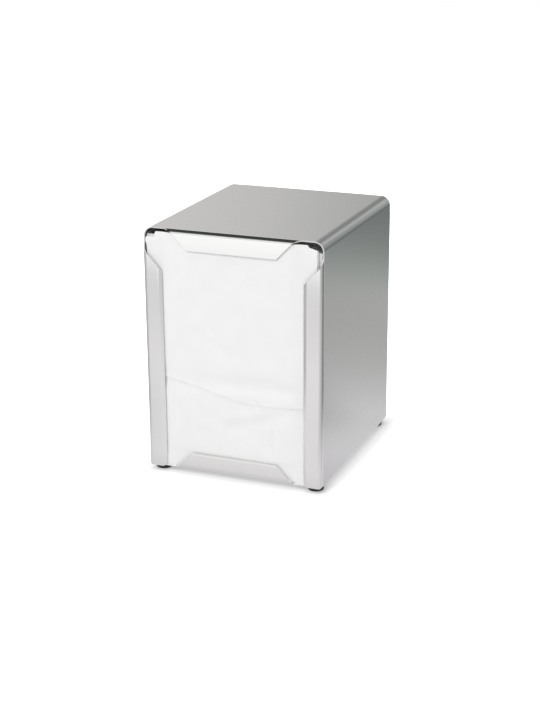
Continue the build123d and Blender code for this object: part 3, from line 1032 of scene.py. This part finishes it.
def paper_in_metal(tree, where, axes):
    """A painted reflection: in place of the paper, metal mirrors a glow whose brightness follows y,
    and away from the object it is also toned by the bearing from the front."""
    along = add_node(
        tree,
        "ShaderNodeMapRange",
        {"From Min": -0.6, "From Max": 0.6, "To Min": 0.0, "To Max": 1.0},
        Value=(axes, "Y"),
    )
    # Painted reflection: lighter and darker bands along y, mirrored in the metal.
    shade = add_node(
        tree,
        "ShaderNodeValToRGB",
        stops=[
            (0.0, "#FFFFFF"),
            (0.09, "#FFFFFF"),
            (0.114, "#C9C7C9"),
            (0.15, "#CCCACC"),
            (0.2, "#D5D3D5"),
            (0.3, "#DEDCDE"),
            (0.37, "#DAD8DA"),
            (0.43, "#DBD9DB"),
            (0.449, "#CAC8CA"),
            (0.5, "#DCDADC"),
            (0.56, "#DAD9DA"),
            (0.63, "#BEBEBD"),
            (0.7, "#B4B4B3"),
            (0.76, "#B9BAB7"),
            (0.81, "#AAAFAC"),
            (0.87, "#8A908D"),
            (1.0, "#727875"),
        ],
        Fac=along,
    )
    ahead = add_node(tree, "ShaderNodeMath", {"operation": "MULTIPLY", 1: -1.0}, i0=(axes, "Y"))
    # Painted reflection: lighter and darker by the bearing from the front.
    aside = add_node(
        tree,
        "ShaderNodeValToRGB",
        stops=[
            (0.0, "#FFFFFF"),
            (0.24, "#D0D3D0"),
            (0.36, "#D0D3D0"),
            (0.42, "#FFFFFF"),
            (0.53, "#FFFFFF"),
            (0.57, "#ECEAEC"),
            (0.63, "#DCDADC"),
            (0.69, "#C4C2C4"),
            (0.78, "#7F8683"),
            (0.83, "#7F8683"),
            (0.87, "#FFFFFF"),
            (1.0, "#FFFFFF"),
        ],
        Fac=bearing_share(tree, (axes, "X"), ahead),
    )
    radius = add_node(tree, "ShaderNodeVectorMath", {"operation": "LENGTH"}, i0=(where, "Object"))
    away = add_node(
        tree,
        "ShaderNodeMapRange",
        {"From Min": 0.08, "From Max": 0.18, "To Min": 0.0, "To Max": 1.0},
        Value=(radius, "Value"),
    )
    toned = add_node(
        tree,
        "ShaderNodeMix",
        {"data_type": "RGBA", "blend_type": "MULTIPLY"},
        i0=away,
        i6=shade,
        i7=aside,
    )
    return add_node(tree, "ShaderNodeEmission", {"Strength": 1.15}, Color=(toned, 2))


def white_paper():
    """Matt white background paper, which takes the object's shadow. It glows to the camera, and to
    metal it shows a painted reflection in place of itself.
    """
    material, tree = new_material("white_paper_sweep")
    where = add_node(tree, "ShaderNodeTexCoord")
    axes = add_node(tree, "ShaderNodeSeparateXYZ", Vector=(where, "Object"))
    rays = add_node(tree, "ShaderNodeLightPath")
    lit = add_node(tree, "ShaderNodeBsdfDiffuse", {"Color": linear("#F4F4F4")})
    plain = add_node(tree, "ShaderNodeEmission", {"Strength": 0.0})
    glow = add_node(
        tree,
        "ShaderNodeMixShader",
        i0=(rays, "Is Camera Ray"),
        i1=plain,
        i2=paper_glow(tree, axes),
    )
    seen = add_node(tree, "ShaderNodeAddShader", i0=lit, i1=glow)
    chosen = add_node(
        tree,
        "ShaderNodeMixShader",
        i0=(rays, "Is Glossy Ray"),
        i1=seen,
        i2=paper_in_metal(tree, where, axes),
    )
    add_node(tree, "ShaderNodeOutputMaterial", Surface=chosen)
    return material


def build_floor():
    """A square of white paper under the object, 5 m wide."""
    half = 2.5
    mesh = bpy.data.meshes.new("paper_sweep")
    corners = [(-half, -half, 0), (half, -half, 0), (half, half, 0), (-half, half, 0)]
    mesh.from_pydata(corners, [], [(0, 1, 2, 3)])
    mesh.materials.append(white_paper())
    floor = bpy.data.objects.new("paper_sweep", mesh)
    bpy.context.scene.collection.objects.link(floor)


def build_world():
    """A white room to the camera. In metal its walls go from white on the left through a grey gap
    to a light panel and a dark right side, by the bearing from the rear, and its ceiling is light
    but for a dark gap along the left."""
    world = bpy.data.worlds.new("studio")
    bpy.context.scene.world = world
    world.use_nodes = True
    tree = world.node_tree
    tree.nodes.clear()
    where = add_node(tree, "ShaderNodeTexCoord")
    axes = add_node(tree, "ShaderNodeSeparateXYZ", Vector=(where, "Generated"))
    rays = add_node(tree, "ShaderNodeLightPath")
    walls = add_node(
        tree,
        "ShaderNodeValToRGB",
        stops=[
            (0.0, "#F2F2F1"),
            (0.3, "#F0F0EE"),
            (0.425, "#EAE8E6"),
            (0.44, "#DCDBD9"),
            (0.452, "#BDBDBB"),
            (0.475, "#949594"),
            (0.5, "#868886"),
            (0.522, "#8E918F"),
            (0.537, "#DCDEDC"),
            (0.547, "#F4F4F2"),
            (0.557, "#B0B2B0"),
            (0.566, "#868C8A"),
            (0.62, "#7C8380"),
            (0.75, "#DADAD8"),
            (1.0, "#F2F2F1"),
        ],
        Fac=bearing_share(tree, (axes, "X"), (axes, "Y")),
    )
    gap = add_node(
        tree,
        "ShaderNodeMapRange",
        {"From Min": -1.0, "From Max": 1.0, "To Min": 0.0, "To Max": 1.0},
        Value=(axes, "X"),
    )
    ceiling = add_node(
        tree,
        "ShaderNodeValToRGB",
        stops=[(0.2, "#C6C9C7"), (0.27, "#333936"), (0.38, "#333936"), (0.46, "#C6C9C7")],
        Fac=gap,
    )
    rise = add_node(
        tree,
        "ShaderNodeMapRange",
        {"From Min": 0.48, "From Max": 0.7, "To Min": 0.0, "To Max": 1.0},
        Value=(axes, "Z"),
    )
    room = add_node(
        tree, "ShaderNodeMix", {"data_type": "RGBA"}, i0=rise, i6=walls, i7=ceiling
    )
    mirrored = add_node(tree, "ShaderNodeBackground", {"Strength": 1.0}, Color=(room, 2))
    seen = add_node(tree, "ShaderNodeBackground", {"Color": linear("#FFFFFF"), "Strength": 1.0})
    fill = add_node(tree, "ShaderNodeBackground", {"Color": linear("#FFFFFF"), "Strength": 0.54})
    other = add_node(
        tree, "ShaderNodeMixShader", i0=(rays, "Is Glossy Ray"), i1=fill, i2=mirrored
    )
    chosen = add_node(tree, "ShaderNodeMixShader", i0=(rays, "Is Camera Ray"), i1=other, i2=seen)
    add_node(tree, "ShaderNodeOutputWorld", Surface=chosen)


def add_softbox(name, place, target, width, height, power):
    """A rectangular softbox that faces its target. Metal mirrors the room in its place."""
    lamp = bpy.data.lights.new(name, "AREA")
    lamp.shape = "RECTANGLE"
    lamp.size, lamp.size_y = width, height
    lamp.energy = power
    box = bpy.data.objects.new(name, lamp)
    bpy.context.scene.collection.objects.link(box)
    box.location = place
    box.rotation_euler = (Vector(target) - Vector(place)).to_track_quat("-Z", "Y").to_euler()
    box.visible_glossy = False


def build_camera():
    """The photograph's view: a fitted turn, tilt and roll about a point near the body's middle."""
    turn, tilt, roll = math.radians(21.75), math.radians(18.96), math.radians(-0.4)
    aim = Vector((-0.0015, 0, 0.0531))
    distance = 0.8911
    focus_in_pixels, picture_height, sensor = 1517.9, 720, 36
    back = Vector(
        (
            math.sin(turn) * math.cos(tilt),
            -math.cos(turn) * math.cos(tilt),
            math.sin(tilt),
        )
    )
    right = (-back).cross(Vector((0, 0, 1))).normalized()
    up = right.cross(-back)
    right, up = (
        right * math.cos(roll) + up * math.sin(roll),
        up * math.cos(roll) - right * math.sin(roll),
    )
    data = bpy.data.cameras.new("camera")
    data.sensor_width = sensor
    data.lens = focus_in_pixels * sensor / picture_height
    camera = bpy.data.objects.new("camera", data)
    bpy.context.scene.collection.objects.link(camera)
    turned_axes = Matrix((right, up, back)).transposed().to_4x4()
    camera.matrix_world = Matrix.Translation(aim + back * distance) @ turned_axes
    bpy.context.scene.camera = camera


build_casing()
build_feet()
build_springs()
build_napkins()
dress_cad_nodes()
build_floor()
build_world()
add_softbox("key_softbox", (-0.45, -1.5, 1.54), (0, 0, 0.07), 1.05, 0.9, 17.0)
add_softbox("top_softbox", (0.1, 0.1, 1.5), (0, 0, 0.05), 1.2, 1.2, 5)
build_camera()
bpy.context.scene.view_settings.view_transform = "Standard"
